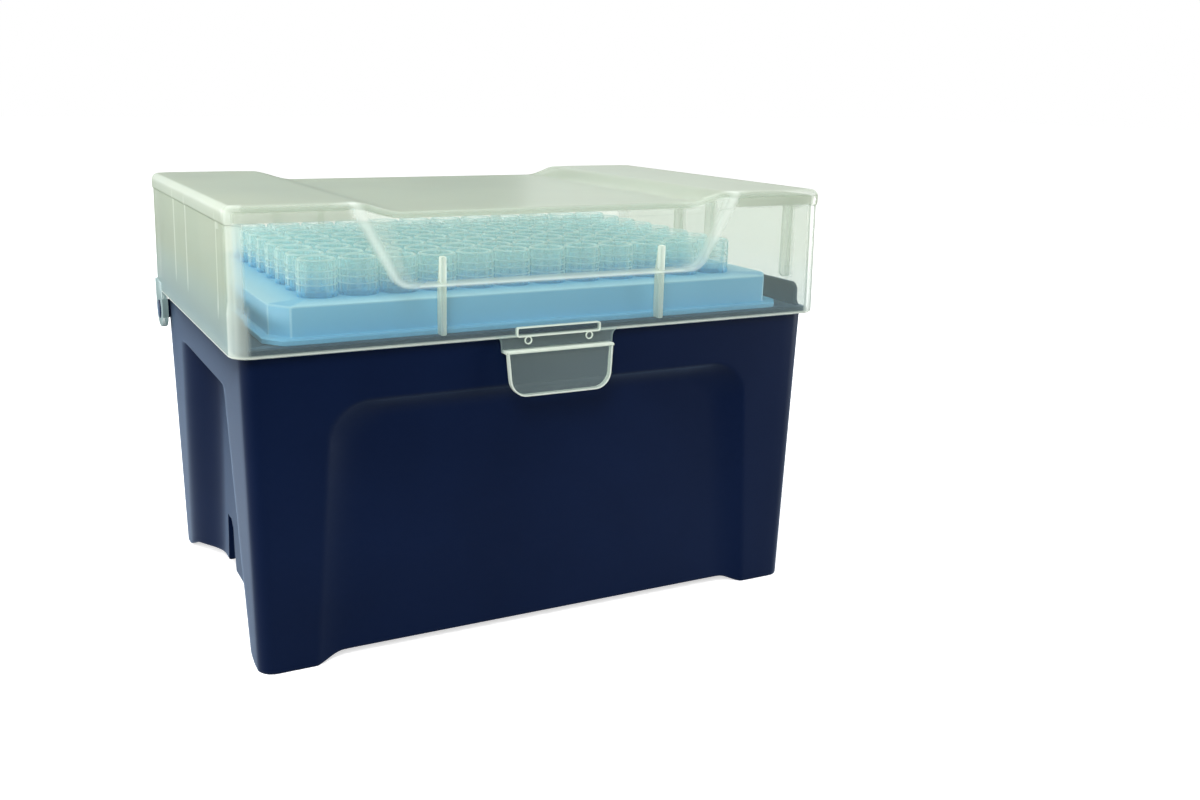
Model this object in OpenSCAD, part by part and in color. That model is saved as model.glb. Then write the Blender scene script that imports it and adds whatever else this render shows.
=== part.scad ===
// Box of pipette tips: base, deck, hinged lid and 96 tips hanging by their collars.
// Millimetres. +Z up, feet on Z = 0, front (catch side) towards -Y, hinge along X at the back.

/* [Room round the tips] */
// Distance from one tip to the next
pitch = 9; // [8.8:0.1:12]
// Deck past the outer tips' centres, at each end
deck_end = 12.1; // [9:0.1:16]
// Deck past the outer tips' centres, front and back
deck_side = 10.9; // [9:0.1:14]
// From the deck's top out to the lid's outside, at each end
lid_end = 9.5; // [9.3:0.1:14]
// From the deck's top out to the lid's outside, front and back
lid_side = 5; // [4.8:0.1:8]
// From the floor up to the tips' open ends
tip_clear = 11.8; // [2:0.1:20]
// From the tips' tops up to the lid's ceiling
head_room = 9; // [2:0.1:16]
// Outside corner radius of the lid
corner_r = 4; // [3:0.1:6]

/* [Tips] */
// Whole length of a tip
tip_len = 70; // [56:0.5:100]
// Height of the collar that hangs on the deck
collar_h = 8; // [6.5:0.1:12]
// Outside diameter of the collar between its flutes
collar_od = 8.3; // [8:0.05:8.4]
// Number of flutes round the collar
flutes = 12; // [8:1:16]
// How far the flutes stand out of the collar
flute_out = 0.22; // [0.15:0.01:0.25]
// Width of a flute
flute_w = 0.9; // [0.4:0.1:1.2]
// Height of the plain band under the flutes
band_h = 1.2; // [0.6:0.1:2]
// Diameter of the mouth that takes the pipette's nozzle
mouth_d = 6.7; // [6.2:0.1:6.7]
// Depth of the straight seat inside the mouth
seat_l = 7.5; // [6:0.1:8]
// Outside diameter just under the collar
body_od = 7.2; // [7:0.05:7.25]
// Outside diameter at the second graduation ring
mid_od = 6.4; // [6:0.1:6.6]
// Outside diameter where the fine taper starts
low_od = 5.7; // [5:0.1:5.9]
// Outside diameter of the open end
end_od = 1.7; // [1.4:0.1:2.2]
// Diameter of the hole in the open end
end_d = 0.8; // [0.6:0.1:1]
// Wall thickness of the tip's body
tip_wall = 0.55; // [0.45:0.05:0.6]
// How far a graduation ring stands out
ring_out = 0.06; // [0.04:0.01:0.1]

/* [Deck] */
// Height of the deck's top above the rim
deck_rise = 7.7; // [6:0.1:12]
// Thickness of the plate with the holes
deck_t = 1.6; // [1.2:0.1:2.4]
// Wall thickness of the skirt
skirt_t = 1.2; // [1:0.1:1.6]
// How far the flange stands out of the skirt
flange_out = 1.9; // [1.4:0.1:2]
// Thickness of the flange
flange_t = 1.2; // [1:0.1:1.6]
// Cut corner of the top, across the width
cut_x = 3.5; // [2:0.1:4]
// Cut corner of the top, along the depth
cut_y = 4.9; // [3:0.1:5]
// Free play between a tip's body and its hole, all round
hole_play = 0.12; // [0.08:0.01:0.15]

/* [Base] */
// Wall thickness of the base
base_wall = 1.6; // [1.3:0.1:1.8]
// Height of the bottom edge below the end grips
end_z = 2.7; // [1.8:0.1:3]
// How much each side leans in from rim to foot
lean = 1.0; // [0.4:0.1:1.4]
// Thickness of the floor
floor_t = 1.6; // [1.2:0.1:2]
// Height of the floor's underside above the table
floor_z = 3.4; // [2.6:0.1:4]
// Height of the bottom edge between the feet
skirt_z = 1.8; // [1:0.1:2.2]
// Height of the rim above the lid's lower edge
rim_h = 1.4; // [1:0.1:1.6]
// Height of the end walls above the rim
upstand_h = 5.5; // [4:0.1:6]
// Thickness of the end walls above the rim
upstand_t = 1.2; // [1:0.1:1.6]
// Depth of the front and back recess
panel_in = 2.6; // [1.5:0.1:2.8]
// From the lid's end face in to the side of the front recess
panel_end = 19.9; // [18:0.1:30]
// How much wider the front recess is at the table
panel_flare = 9.4; // [4:0.2:9.4]
// Drop from the lid's edge to the top of the front recess
panel_drop = 10.9; // [9:0.1:14]
// Radius of the recess's top corners
panel_r = 9.3; // [6:0.1:12]
// Depth of the hollow grip in each end
grip_in = 7; // [4:0.1:7.2]
// From the lid's front face in to the start of the end grip's flank
grip_end = 20.4; // [16:0.1:26]
// Lean of the grip's flanks, in degrees
grip_lean = 9.5; // [4:0.5:10.5]
// Length of each curved flank of the grip
flank_l = 18; // [12:0.5:20]
// Drop from the lid's edge to the top of the grip
grip_drop = 10.4; // [9:0.1:14]

/* [Lid] */
// Wall thickness of the lid
lid_wall = 1.2; // [1:0.05:1.3]
// Thickness of the lid's top
lid_top = 1.4; // [1.2:0.1:1.8]
// How much each side of the lid leans in towards the top
lid_lean = 0.5; // [0.2:0.1:0.8]
// Depth of the channel across the top
channel_in = 2.2; // [1:0.1:2.6]
// From the lid's end face in to the channel
channel_end = 26.1; // [18:0.1:34]
// Width of each of the channel's sloping sides
channel_slope = 10.5; // [6:0.1:14]
// Depth of the recess in the lid's front and back walls
fall_in = 2; // [1:0.1:2.2]
// Height of the recess's lower edge above the lid's edge
fall_z = 12.2; // [11:0.1:14]
// How far the band round the lid's top stands out of its walls
crown_out = 0.25; // [0.1:0.05:0.4]
// Height of that band
crown_h = 3.7; // [2:0.1:6]
// Thickness of the ribs inside the lid
rib_t = 1.3; // [1:0.1:1.6]

/* [Catch] */
// Width of the catch tab at the lid's edge
tab_w = 27.2; // [22:0.2:34]
// How far the tab hangs below the lid's edge
tab_drop = 12.8; // [9:0.1:15]
// How far the tab stands out of the lid's front wall
tab_out = 2; // [1.4:0.1:2.6]
// Width of the catch slot
slot_w = 19.8; // [14:0.2:20]
// Height of the catch slot
slot_h = 1.6; // [1.4:0.1:1.8]
// Radius where the tab runs into the lid's edge
tab_fillet = 1.6; // [0.6:0.1:2.4]

/* [Hinge] */
// Diameter of the trunnions on the base
trunnion_d = 4.84; // [4.2:0.02:5]
// Free play between trunnion and ear, all round
hinge_play = 0.08; // [0.05:0.01:0.1]
// Distance from the lid's back face to the hinge line
hinge_in = 5.4; // [5.2:0.1:5.7]
// Drop from the lid's edge to the hinge line
hinge_drop = 5; // [4.9:0.1:5.3]
// Half width of an ear, and its round end's radius
ear_r = 4.7; // [4.2:0.1:4.8]

/* [Hidden] */
columns = 12;
rows = 8;
deck_w = (columns - 1)*pitch + 2*deck_end;
deck_d = (rows - 1)*pitch + 2*deck_side;
lid_w = deck_w + 2*lid_end;          // outside, at the lid's lower edge
lid_d = deck_d + 2*lid_side;
lid_h = rim_h + deck_rise + collar_h + head_room + lid_top + channel_in;
edge_z = floor_z + floor_t + tip_clear + tip_len - collar_h - deck_rise - rim_h; // the lid's lower edge
panel_w = lid_w - 2*panel_end;
grip_l = lid_d - 2*grip_end;
channel_w = lid_w - 2*channel_end;   // at the upper edges
channel_floor = channel_w - 2*channel_slope;
round_fn = 96;                       // facets that stand for a true circle
corner_fn = 32;                      // corners of the leaning walls
sliver = 0.02;                       // thickness of the slices that a leaning wall spans
over = 1;                            // how far a cut runs past the face it cuts
navy = [0.05, 0.07, 0.13];
sky = [0.55, 0.75, 0.87];
milky = [0.86, 0.9, 0.84, 0.45];
clear = [0.72, 0.87, 0.88, 0.6];

y_mid = tab_out/2;                   // puts the whole box's middle on Y = 0
lid_gap = 0.25;                      // rim to lid, front and back
rim_gap = 0.4;                       // rim to lid at the ends
rim_z = edge_z + rim_h;
rim_w = lid_w - 2*lid_wall - 2*rim_gap;
rim_d = lid_d - 2*lid_wall - 2*lid_gap;
rim_r = corner_r - lid_wall - lid_gap;
rim_over_end = 0.6;                  // how far the rim stands out over the wall
rim_over_side = 0.45;
base_w = rim_w - 2*rim_over_end;
base_d = rim_d - 2*rim_over_side;
base_r = 3.6;
deck_z = rim_z + deck_rise;
grip_z = edge_z - grip_drop;
panel_z = edge_z - panel_drop;
hinge_y = lid_d/2 - hinge_in;
hinge_z = edge_z - hinge_drop;
tip_z = deck_z + collar_h;           // top of the tips
ring_1 = collar_h + 9.5;
ring_2 = ring_1 + 15.2;
ring_3 = ring_2 + 9.6;
seat_w = 1.2;                        // how much of the flange lies on the rim
end_play = 3.7;                      // flange to end wall
opening_w = deck_w + 2*flange_out - 2*seat_w;
opening_d = deck_d + 2*flange_out - 2*seat_w;
rib_x = 3*pitch - 0.4;               // front and back ribs of the lid
rib_xs = [-rib_x, rib_x];
rib_ys = [-lid_d/2 + 11.4, -2, 13.5]; // end ribs of the lid, clear of the hinge
rib_in = 2.4;
gusset_x = base_w/2 - 18.9;          // outer gussets under the rim
gusset_y = base_d/2 - 12.5;
foot_x = panel_w/2 + panel_flare/2;  // inner edges of the feet
foot_y = base_d/2 - 7;

// A true rounded rectangle, standing on z.
module block(w, d, r, z, h) {
  translate([0, 0, z]) linear_extrude(h) {
    square([w - 2*r, d], center = true);
    square([w, d - 2*r], center = true);
    for (sx = [-1, 1], sy = [-1, 1])
      translate([sx*(w/2 - r), sy*(d/2 - r)]) circle(r, $fn = round_fn);
  }
}

// Slices of a leaning wall: each is [half width, half depth, radius, height].
module leaning(slices) {
  hull()
    for (s = slices, sx = [-1, 1], sy = [-1, 1])
      translate([sx*(s[0] - s[2]), sy*(s[1] - s[2]), s[3]])
        cylinder(r = s[2], h = sliver, $fn = corner_fn);
}

// ---- Base -------------------------------------------------------------------------------------

module base_form(inset, z0, z1) {
  r = base_r - inset*0.75;
  leaning([[base_w/2 - inset - lean*(rim_z - z0)/rim_z, base_d/2 - inset - lean*(rim_z - z0)/rim_z, r, z0],
           [base_w/2 - inset - lean*(rim_z - z1)/rim_z, base_d/2 - inset - lean*(rim_z - z1)/rim_z, r, z1 - sliver]]);
}

// The space that the front or back recess takes out; grow makes the wall behind it.
module panel_space(grow) {
  flank_x = 5;                       // the recess's sides slope in over this much
  flank_z = 1.7;
  out = 2;                           // how far it reaches past the wall
  hull()
    for (step = [[panel_in + grow, 0], [-out, (panel_in + out)/panel_in]], sx = [-1, 1]) {
      k = step[1];
      w = panel_w/2 - flank_x + k*flank_x + grow;
      wb = w + panel_flare/2;
      r = panel_r - 2.3 + k*2.3 + grow;
      top = panel_z - flank_z + k*flank_z + grow;
      translate([0, -base_d/2 + step[0], 0]) rotate([90, 0, 0]) {
        translate([sx*(w - r), top - r, 0]) cylinder(r = r, h = sliver, $fn = 48);
        translate([sx*(wb - 1), -4, 0]) cylinder(r = 1, h = sliver, $fn = corner_fn);
      }
    }
}

// One flank of the end grip, curving in from the wall to full depth, leaning outwards to the table.
module grip_flank(grow) {
  n = 14;
  far = 80;
  translate([-base_w/2, -grip_l/2, grip_z]) rotate([-grip_lean, 0, 0])
    translate([0, 0, -far]) linear_extrude(far + 20)
      polygon(concat(
        [[-far, far*1.5], [-far, -grow*0.5], [-over, -grow*0.5]],
        [for (i = [0:n]) let (s = i/n) [grip_in*s*s*s*(10 - 15*s + 6*s*s) + grow, flank_l*s - grow*0.5]],
        [[grip_in + grow, far*1.5]]));
}

// The grip's outline seen from the end, with round top corners.
module grip_outline(grow) {
  r = 4;
  top = grip_z + grow;
  half = grip_l/2 + grow*0.5;
  y = half - r*tan(45 + grip_lean/2) + r*sin(grip_lean)*tan(grip_lean);
  low = half + (top + over)*tan(grip_lean);
  arc = [for (a = [0:10:90 - grip_lean]) [y + r*sin(a), top - r + r*cos(a)]];
  polygon(concat([[-low, -over]], [for (p = [len(arc) - 1:-1:0]) [-arc[p][0], arc[p][1]]], arc, [[low, -over]]));
}

module grip_space(grow) {
  intersection() {
    grip_flank(grow);
    mirror([0, 1, 0]) grip_flank(grow);
    translate([-lid_w, 0, 0]) rotate([90, 0, 90]) linear_extrude(lid_w) grip_outline(grow);
  }
}

module hollows(grow) {
  panel_space(grow);
  mirror([0, 1, 0]) panel_space(grow);
  grip_space(grow);
  mirror([1, 0, 0]) grip_space(grow);
}

// The bottom edge rises between the feet, on all four sides.
module foot_arches() {
  x = foot_x;
  y = foot_y;
  rotate([90, 0, 0]) translate([0, 0, -lid_d]) linear_extrude(2*lid_d)
    polygon([[-x, -over], [-x, 0.2], [-x + 0.8, 1.1], [-x + 3.5, skirt_z], [x - 3.5, skirt_z], [x - 0.8, 1.1], [x, 0.2], [x, -over]]);
  rotate([90, 0, 90]) translate([0, 0, -lid_w]) linear_extrude(2*lid_w)
    polygon([[-y, -over], [-y, 0.2], [-y + 1.5, 1.6], [-y + 8, end_z], [y - 8, end_z], [y - 1.5, 1.6], [y, 0.2], [y, -over]]);
}

// Slots that rise from the bottom edge into the panel at the back of each end grip.
module drain_slots() {
  y = 11.5;
  low = 4;                           // half widths at the table and at the top
  high = 2.9;
  top = 16;
  r = 1;
  for (sx = [0, 1], sy = [-1, 1])
    mirror([sx, 0, 0]) translate([base_w/2 - grip_in - base_wall - 0.3, sy*y, 0]) rotate([90, 0, 90]) linear_extrude(base_wall + 2)
      polygon([[-low, -over], [low, -over], [high, top - r], [high - 0.3*r, top - 0.3*r], [high - r, top],
               [r - high, top], [0.3*r - high, top - 0.3*r], [-high, top - r]]);
}

// The rim that the lid closes round, with the opening that the deck stands in.
module rim() {
  difference() {
    block(rim_w, rim_d, rim_r, edge_z - 0.3, rim_h + 0.3);
    block(opening_w, opening_d, 3, edge_z - over, rim_h + 2*over);
  }
}

// The low wall that stands on the rim at each end, with round top corners and flared feet.
module upstands() {
  x = deck_w/2 + flange_out + end_play;
  y = deck_d/2 + 0.3;
  top = rim_z + upstand_h;
  r = 2.3;                           // top corners
  foot = 1.6;                        // flare into the rim
  half = concat([for (a = [0:15:90]) [y + foot*(1 - sin(a)), rim_z + foot*(1 - cos(a))]],
                [for (a = [0:15:90]) [y - r + r*cos(a), top - r + r*sin(a)]]);
  for (sx = [0, 1])
    mirror([sx, 0, 0]) translate([x, 0, 0]) rotate([90, 0, 90]) linear_extrude(upstand_t)
      polygon(concat([[y + foot, rim_z - 0.5]], half, [for (i = [len(half) - 1:-1:0]) [-half[i][0], half[i][1]]],
                     [[-y - foot, rim_z - 0.5]]));
}

// Gussets inside the walls that hold up the rim under the deck's flange.
module gussets() {
  t = 1.4;
  top = edge_z - 0.1;
  toe = 1.5;                         // height of a gusset's inner end
  for (sx = [0, 1], y = [-gusset_y, -gusset_y/3, gusset_y/3, gusset_y])
    mirror([sx, 0, 0]) translate([0, y + t/2, 0]) rotate([90, 0, 0]) linear_extrude(t)
      polygon([[opening_w/2, top], [base_w/2 - base_wall/2, top], [base_w/2 - base_wall/2, grip_z + base_wall/2],
               [base_w/2 - base_wall - 0.6, grip_z + base_wall/2], [opening_w/2, top - toe]]);
  for (sy = [0, 1], x = [-gusset_x, -gusset_x/3, gusset_x/3, gusset_x])
    mirror([0, sy, 0]) translate([x - t/2, 0, 0]) rotate([90, 0, 90]) linear_extrude(t)
      polygon([[-opening_d/2, top], [-base_d/2 + base_wall/2, top], [-base_d/2 + base_wall/2, panel_z + base_wall/2],
               [-base_d/2 + base_wall + 0.4, panel_z + base_wall/2], [-opening_d/2, top - toe]]);
}

module trunnions() {
  root = 0.8;                        // how far a pin starts inside the wall
  past = 0.4;                        // how far it ends past the lid's face
  len = lid_w/2 + past - base_w/2 + root;
  for (sx = [-1, 1])
    translate([sx*(base_w/2 - root + len/2), hinge_y, hinge_z]) rotate([0, 90, 0])
      cylinder(d = trunnion_d, h = len, center = true, $fn = round_fn);
}

// The nose that snaps into the lid's slot.
module catch_nose() {
  w = slot_w - 1;
  out = 0.85;
  h = 0.9;
  translate([-w/2, -rim_d/2 - out, rim_z - h]) cube([w, out + over, h]);
}

module base() {
  color(navy) translate([0, y_mid, 0]) {
    difference() {
      base_form(0, 0, edge_z + 0.4);
      hollows(0);
      foot_arches();
      drain_slots();
      difference() {
        base_form(base_wall, -over, edge_z + over);
        hollows(base_wall);
        translate([-lid_w, -lid_d, floor_z]) cube([2*lid_w, 2*lid_d, floor_t]);
      }
    }
    rim();
    upstands();
    gussets();
    trunnions();
    catch_nose();
  }
}

// ---- Deck -------------------------------------------------------------------------------------

module cut_plate(w, d, cx, cy, z, h) {
  translate([0, 0, z]) linear_extrude(h)
    polygon([[-w/2 + cx, -d/2], [w/2 - cx, -d/2], [w/2, -d/2 + cy], [w/2, d/2 - cy],
             [w/2 - cx, d/2], [-w/2 + cx, d/2], [-w/2, d/2 - cy], [-w/2, -d/2 + cy]]);
}

module deck() {
  slot = rib_t + 2*0.8;              // notches that let the lid's ribs past the flange
  color(sky) translate([0, y_mid, 0]) difference() {
    union() {
      cut_plate(deck_w, deck_d, cut_x, cut_y, rim_z, deck_rise);
      block(deck_w + 2*flange_out, deck_d + 2*flange_out, 3.4, rim_z, flange_t);
    }
    cut_plate(deck_w - 2*skirt_t, deck_d - 2*skirt_t, cut_x, cut_y, rim_z - over, deck_rise - deck_t + over);
    for (i = [0:columns - 1], j = [0:rows - 1])
      translate([(i - (columns - 1)/2)*pitch, (j - (rows - 1)/2)*pitch, rim_z])
        cylinder(d = body_od + 2*hole_play, h = deck_rise + over, $fn = round_fn);
    for (x = rib_xs, sy = [-1, 1])
      translate([x - slot/2, sy > 0 ? deck_d/2 : -deck_d/2 - flange_out - over, rim_z - over])
        cube([slot, flange_out + over, flange_t + 2*over]);
  }
}

// ---- Tips -------------------------------------------------------------------------------------

// One tip, mouth up, its collar's top at Z = 0.
module tip() {
  r1 = collar_od/2;
  rb = body_od/2;
  rm = mid_od/2;
  rl = low_od/2;
  re = end_od/2;
  ring_h = 0.35;
  rotate_extrude($fn = round_fn)
    polygon([[mouth_d/2 + 0.35, 0], [r1 - 0.3, 0], [r1, -0.3], [r1, band_h - collar_h],
             [r1 + flute_out, band_h - collar_h], [r1 + flute_out, 0.3 - collar_h], [r1 + flute_out - 0.3, -collar_h], [rb, -collar_h],
             [rb - 0.06, -ring_1], [rb - 0.06 + ring_out, -ring_1], [rb - 0.08 + ring_out, -ring_1 - ring_h], [rb - 0.08, -ring_1 - ring_h],
             [rm, -ring_2], [rm + ring_out, -ring_2], [rm + ring_out - 0.01, -ring_2 - ring_h], [rm - 0.01, -ring_2 - ring_h],
             [rl, -ring_3], [re, -tip_len], [end_d/2, -tip_len],
             [rl - tip_wall, -ring_3], [rm - tip_wall, -ring_2], [mouth_d/2 - 0.3, -seat_l - 0.6], [mouth_d/2, -seat_l],
             [mouth_d/2, -0.5]]);
}

module collar_flutes() {
  root = 0.35;                       // how far a flute reaches into the collar
  shy = 0.05;                        // how far it stays inside the band
  for (i = [0:flutes - 1])
    rotate([0, 0, (i + 0.5)*360/flutes]) translate([collar_od/2 - root, -flute_w/2, band_h - collar_h - shy])
      cube([root + flute_out - shy, flute_w, collar_h - band_h + shy - 0.5]);
}

module tips_column(i) {
  color(clear) translate([(i - (columns + 1)/2)*pitch, y_mid, tip_z])
    for (j = [0:rows - 1])
      translate([0, (j - (rows - 1)/2)*pitch, 0]) {
        tip();
        collar_flutes();
      }
}

// ---- Lid --------------------------------------------------------------------------------------

function lid_slice(inset, r, z) =
  [lid_w/2 - inset - lid_lean*z/lid_h, lid_d/2 - inset - lid_lean*z/lid_h, r, edge_z + z];

// The recess that the channel becomes in the front wall; grow makes the wall behind it.
module fall_space(grow) {
  out = 1;
  hull()
    for (step = [[fall_in + grow, 0], [-out, (fall_in + out)/fall_in]], sx = [-1, 1]) {
      k = step[1];
      translate([0, -lid_d/2 + step[0], edge_z]) rotate([90, 0, 0]) {
        translate([sx*(channel_floor/2 - 3.7 + k*2.9), fall_z + 4.6 - k*0.6, 0])
          cylinder(r = 3 + k + grow, h = sliver, $fn = 48);
        translate([sx*(channel_floor/2 + 3.6 + k*11.6), lid_h + 4.3, 0])
          cylinder(r = 0.5 + grow, h = sliver, $fn = corner_fn);
      }
    }
}

module channel_space(grow) {
  z = edge_z + lid_h - grow;
  k = grow*0.1;
  rotate([90, 0, 0]) translate([0, 0, -lid_d]) linear_extrude(2*lid_d)
    polygon([[-channel_w/2 - k - 5, z + 5*channel_in/((channel_w - channel_floor)/2)], [-channel_floor/2 - k, z - channel_in],
             [channel_floor/2 + k, z - channel_in], [channel_w/2 + k + 5, z + 5*channel_in/((channel_w - channel_floor)/2)],
             [channel_w/2 + k + 5, z + 10], [-channel_w/2 - k - 5, z + 10]]);
}

module lid_hollows(grow) {
  fall_space(grow);
  mirror([0, 1, 0]) fall_space(grow);
  channel_space(grow > 0 ? lid_top : 0);
}

module lid_ribs() {
  foot = rim_z + 0.02;               // the ribs stand on the rim
  tall = 17.5;
  end_in = 2.3;                      // how far the end ribs reach in from the wall
  end_foot = rim_z + upstand_h + 0.5; // they end over the base's end walls
  for (x = rib_xs) {
    translate([x - rib_t/2, -lid_d/2 + 0.5, foot]) rotate([90, 0, 90]) linear_extrude(rib_t)
      polygon([[0, 0], [rib_in + lid_wall - 0.5, 0], [rib_in + lid_wall - 0.5, 11], [0.6, tall], [0, tall]]);
    translate([x - rib_t/2, lid_d/2 - lid_wall - 1.6, edge_z + 11]) cube([rib_t, 2.2, 8]);
  }
  for (sx = [-1, 1], y = rib_ys)
    translate([sx > 0 ? lid_w/2 - lid_wall - end_in : -lid_w/2 + 0.6, y - rib_t/2, end_foot])
      cube([lid_wall + end_in - 0.6, rib_t, edge_z + lid_h - lid_top + 0.4 - end_foot]);
}

module ears() {
  t = 1.5;                           // thickness of an ear
  for (sx = [-1, 1])
    translate([sx > 0 ? lid_w/2 - 1.35 : -lid_w/2 - 0.15, hinge_y, 0]) rotate([90, 0, 90]) linear_extrude(t)
      difference() {
        union() {
          translate([0, hinge_z]) circle(ear_r, $fn = round_fn);
          translate([-ear_r, hinge_z]) square([2*ear_r, hinge_drop + 2.5]);
        }
        translate([0, hinge_z]) circle(d = trunnion_d + 2*hinge_play, $fn = round_fn);
      }
}

// The tab below the front edge: a straight neck, a step outwards, then the finger grip.
module tab() {
  neck = 2.9;
  step_t = 0.8;
  face = -lid_d/2;
  grip_w = tab_w - 1.6;
  mark_x = 7.5;
  lean_out = 0.7;
  turn = [for (a = [10:16:90]) tab_fillet*[1 - sin(a), -1 + cos(a)]];  // the fillet, from the neck up to the edge
  translate([0, face + lid_wall, edge_z]) rotate([90, 0, 0]) linear_extrude(lid_wall)
    polygon(concat([[-tab_w/2, -neck], [tab_w/2, -neck]],
                   [for (i = [len(turn) - 1:-1:0]) [tab_w/2 + turn[i][0], turn[i][1]]], [[tab_w/2 + tab_fillet, 0.5], [-tab_w/2 - tab_fillet, 0.5]],
                   [for (p = turn) [-tab_w/2 - p[0], p[1]]]));
  for (sx = [-1, 1])                 // the marks of the ejector pins
    translate([sx*mark_x, face + 0.1, edge_z - 0.75]) rotate([90, 0, 0]) difference() {
      cylinder(d = 1.8, h = 0.25, $fn = round_fn);
      translate([0, 0, 0.1]) cylinder(d = 1.2, h = 0.5, $fn = round_fn);
    }
  translate([-tab_w/2, face - tab_out + lean_out, edge_z - neck]) cube([tab_w, tab_out - lean_out + lid_wall, step_t]);
  r = 4;
  translate([0, face - tab_out + lean_out, edge_z - neck + step_t])
    rotate([90 - atan(lean_out/(tab_drop - neck)), 0, 0]) translate([0, 0, -lid_wall]) linear_extrude(lid_wall) {
      translate([-grip_w/2, -tab_drop + neck - step_t + r]) square([grip_w, tab_drop - neck + step_t - r]);
      translate([-grip_w/2 + r, -tab_drop + neck - step_t]) square([grip_w - 2*r, r + 0.5]);
      for (sx = [-1, 1]) translate([sx*(grip_w/2 - r), -tab_drop + neck - step_t + r]) circle(r, $fn = round_fn);
    }
}

module lid() {
  r = corner_r;
  soft = 1.3;                        // radius of the top's outer edge
  soft_in = 0.8;                     // and of its inner one
  web = 0.6;                         // what is left of the wall over the nose
  color(milky) translate([0, y_mid, 0]) difference() {
    union() {
      difference() {
        union() {
          leaning([lid_slice(0, r, 0), lid_slice(0, r, lid_h - crown_h)]);
          leaning([lid_slice(-crown_out, r, lid_h - crown_h), lid_slice(-crown_out, r, lid_h - soft),
                   lid_slice(soft*0.3 - crown_out, r - soft*0.3, lid_h - soft*0.3 - sliver),
                   lid_slice(soft - crown_out, r - soft, lid_h - sliver)]);
        }
        difference() {
          leaning([lid_slice(lid_wall, r - lid_wall, -over), lid_slice(lid_wall + 0.1, r - lid_wall, lid_h - lid_top - soft_in),
                   lid_slice(lid_wall + soft_in, r - lid_wall - soft_in + 0.1, lid_h - lid_top - sliver)]);
          lid_hollows(lid_wall);
        }
      }
      lid_ribs();
      ears();
      tab();
    }
    lid_hollows(0);
    translate([-slot_w/2, -lid_d/2 - over, rim_z - 0.3 - slot_h/2]) cube([slot_w, lid_wall + 2*over - web, slot_h]);
  }
}

base();
deck();
lid();
tips_column(1);  // tips_column_1
tips_column(2);  // tips_column_2
tips_column(3);  // tips_column_3
tips_column(4);  // tips_column_4
tips_column(5);  // tips_column_5
tips_column(6);  // tips_column_6
tips_column(7);  // tips_column_7
tips_column(8);  // tips_column_8
tips_column(9);  // tips_column_9
tips_column(10);  // tips_column_10
tips_column(11);  // tips_column_11
tips_column(12);  // tips_column_12
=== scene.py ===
import math

import bmesh
import bpy
import numpy as np
from mathutils import Matrix, Vector
from mathutils.geometry import delaunay_2d_cdt


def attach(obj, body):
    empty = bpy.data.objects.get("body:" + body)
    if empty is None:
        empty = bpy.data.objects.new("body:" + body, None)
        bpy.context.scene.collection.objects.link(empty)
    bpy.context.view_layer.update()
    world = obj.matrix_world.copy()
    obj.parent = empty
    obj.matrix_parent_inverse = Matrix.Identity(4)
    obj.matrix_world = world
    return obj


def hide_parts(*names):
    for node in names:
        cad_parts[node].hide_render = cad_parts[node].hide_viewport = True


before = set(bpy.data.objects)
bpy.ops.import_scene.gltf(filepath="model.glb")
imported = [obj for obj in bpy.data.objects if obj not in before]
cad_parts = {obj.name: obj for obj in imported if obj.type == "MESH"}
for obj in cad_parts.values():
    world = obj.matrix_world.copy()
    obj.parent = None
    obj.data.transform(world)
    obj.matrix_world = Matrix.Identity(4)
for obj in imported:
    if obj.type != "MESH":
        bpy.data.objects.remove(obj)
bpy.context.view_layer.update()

# ---- Table, light and camera --------------------------------------------------------------------
# A white sweep under the box, soft windows on the left and overhead, a bounce card in front, two weaker
# windows on the right, and a camera a little above the lid that looks at the catch side and the left end.

scene = bpy.context.scene
scene.view_settings.view_transform = "Standard"
scene.cycles.transparent_max_bounces = 48     # light crosses many thin walls on its way through lid and tips
mm = 0.001
table_half = 4.0


def new_finish(name):
    """A material with nothing in it yet: the material, its node tree and its output."""
    material = bpy.data.materials.new(name)
    material.use_nodes = True
    tree = material.node_tree
    tree.nodes.clear()
    return material, tree, tree.nodes.new("ShaderNodeOutputMaterial")


def add_node(tree, kind, option=None, **inputs):
    """A shader node. option is its operation, or the data type of a Mix, and _ in an input's name stands for
    a space."""
    made = tree.nodes.new("ShaderNode" + kind)
    if option:
        setattr(made, "data_type" if kind == "Mix" else "operation", option)
    for name, value in inputs.items():
        made.inputs[name.replace("_", " ")].default_value = value
    return made


def join(tree, *links):
    """Links between sockets, each given as (from, to)."""
    for source, target in links:
        tree.links.new(source, target)


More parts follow.
